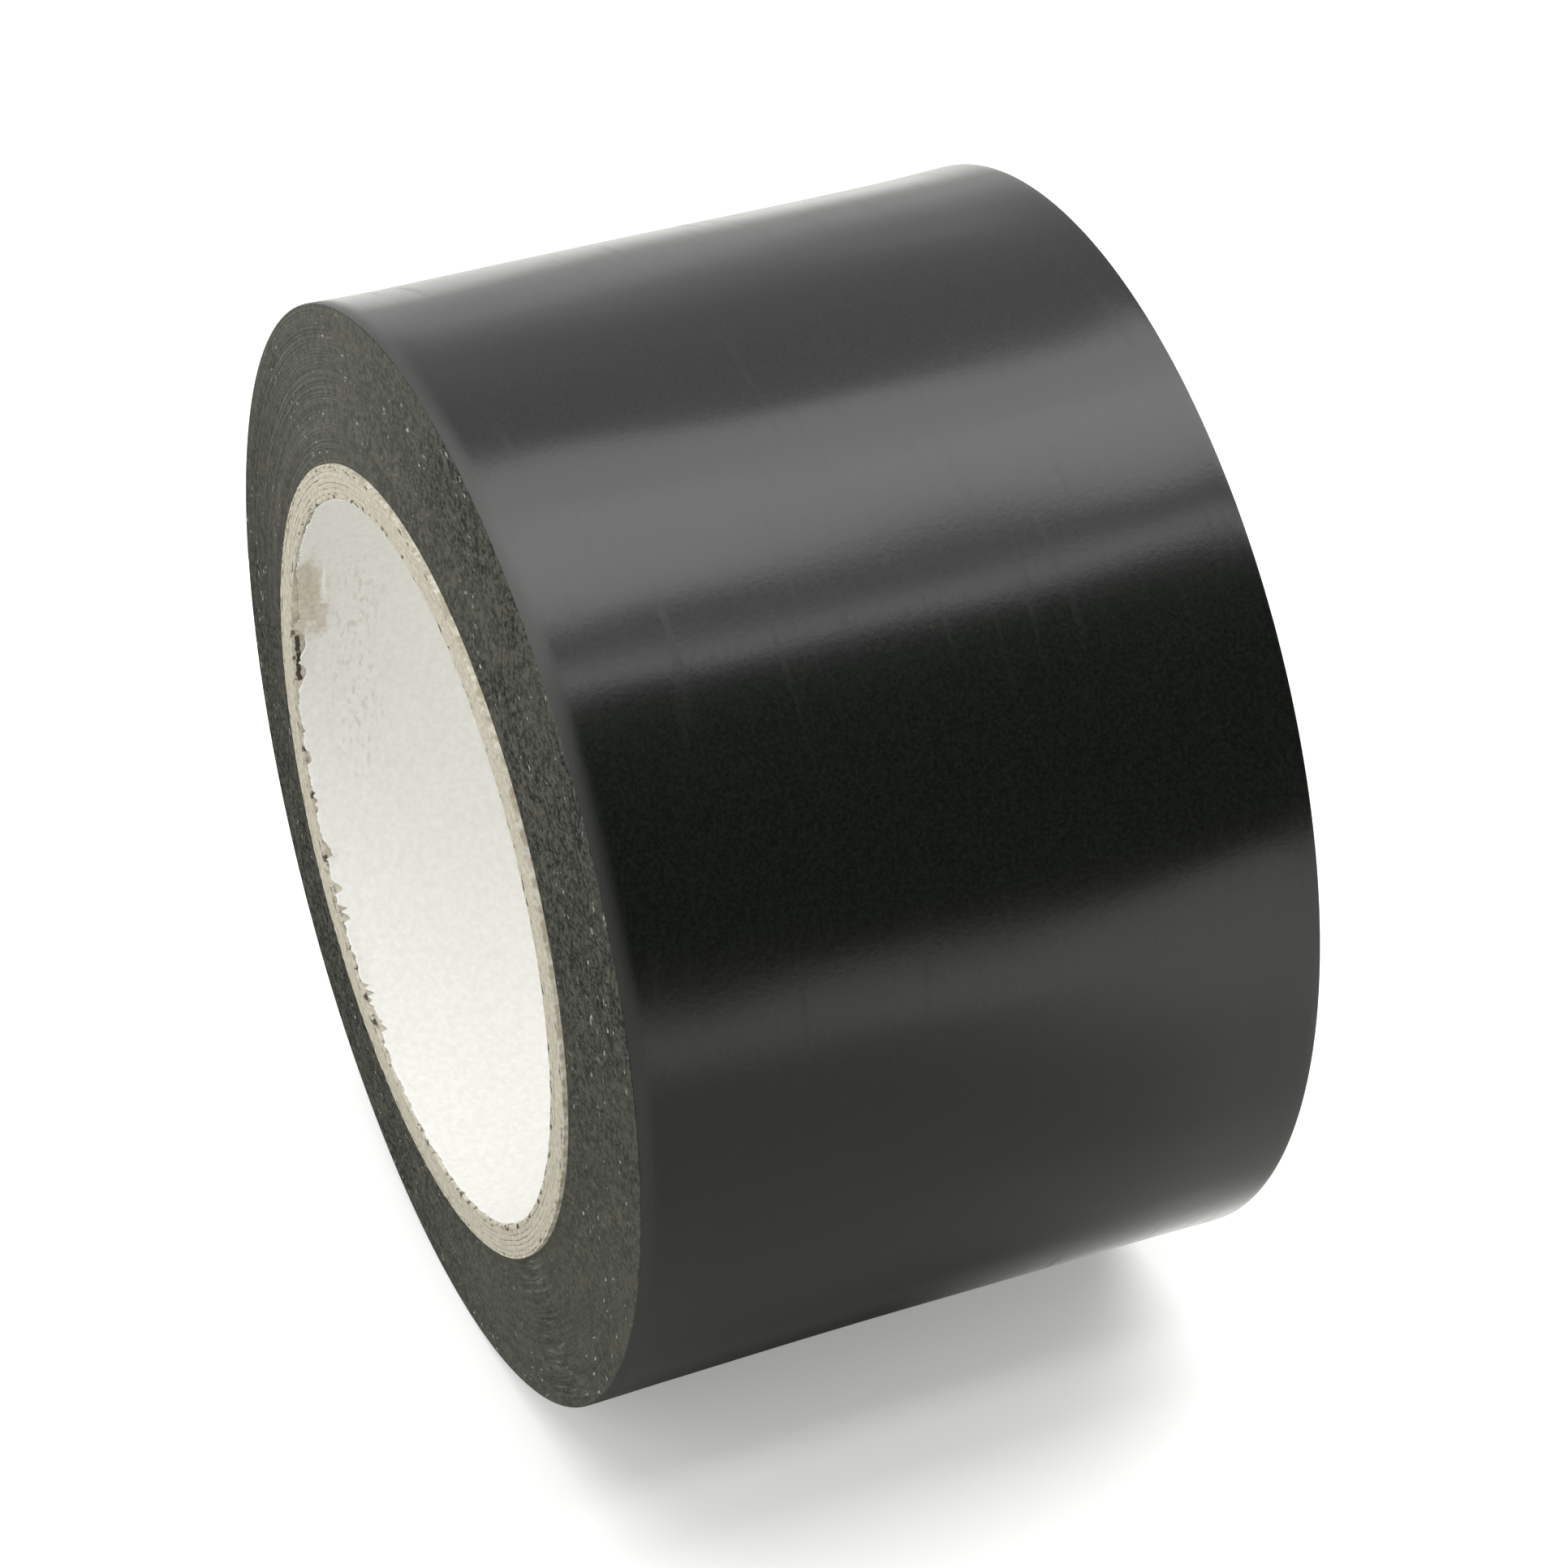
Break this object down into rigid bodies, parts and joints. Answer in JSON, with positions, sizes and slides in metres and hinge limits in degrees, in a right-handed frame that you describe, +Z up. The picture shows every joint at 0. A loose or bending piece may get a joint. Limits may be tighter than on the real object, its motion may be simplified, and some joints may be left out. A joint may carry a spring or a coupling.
{
  "type": "electrical tape roll",
  "caption": "Wide roll of black plastic insulating tape, wound on a white-lined brown paper core, with a loose end that peels away from the roll and straightens.",
  "frame": {"origin": "on the surface that the roll stands on, under the middle of its bounding box", "axes": "+Y along the roll's axis, towards the end where core and tape are flush; +Z up; +X towards the side where the tape has no loose end"},
  "size_m": [0.1163, 0.0738, 0.1163],
  "materials": {
    "black_film": "calendered PVC film, semi-gloss",
    "adhesive": "tacky rubber adhesive coat",
    "brown_paper": "uncoated kraft board, cut end slightly fuzzy",
    "white_paper": "smooth bleached paper, matte"
  },
  "bodies": {
    "roll": {"core_liner": "white_paper", "core_ply_1": "brown_paper", "core_ply_2": "brown_paper", "core_ply_3": "brown_paper", "core_ply_4": "brown_paper", "core_ply_5": "brown_paper", "core_ply_6": "brown_paper", "core_top_ply": "brown_paper", "wound_tape": "black_film", "outer_lap_film": "black_film", "outer_lap_adhesive": "adhesive"},
    "tail_1": {"tail_film_1": "black_film", "tail_adhesive_1": "adhesive"},
    "tail_2": {"tail_film_2": "black_film", "tail_adhesive_2": "adhesive"},
    "tail_3": {"tail_film_3": "black_film", "tail_adhesive_3": "adhesive"}
  },
  "joints": [
    {"name": "tail_peel", "type": "hinge", "parent": "roll", "child": "tail_1", "pos_m": [-0.04464, 0.0007, 0.09556], "axis": [0, 1, 0], "range_deg": [0, 120]},
    {"name": "tail_straighten_1", "type": "hinge", "parent": "tail_1", "child": "tail_2", "pos_m": [-0.05182, 0.0007, 0.08475], "axis": [0, 1, 0], "range_deg": [0, 12]},
    {"name": "tail_straighten_2", "type": "hinge", "parent": "tail_2", "child": "tail_3", "pos_m": [-0.05643, 0.0007, 0.07263], "axis": [0, 1, 0], "range_deg": [0, 12]}
  ],
  "couplings": [
    {"joint": "tail_straighten_1", "follows": "tail_peel", "ratio": 0.1},
    {"joint": "tail_straighten_2", "follows": "tail_peel", "ratio": 0.1}
  ]
}
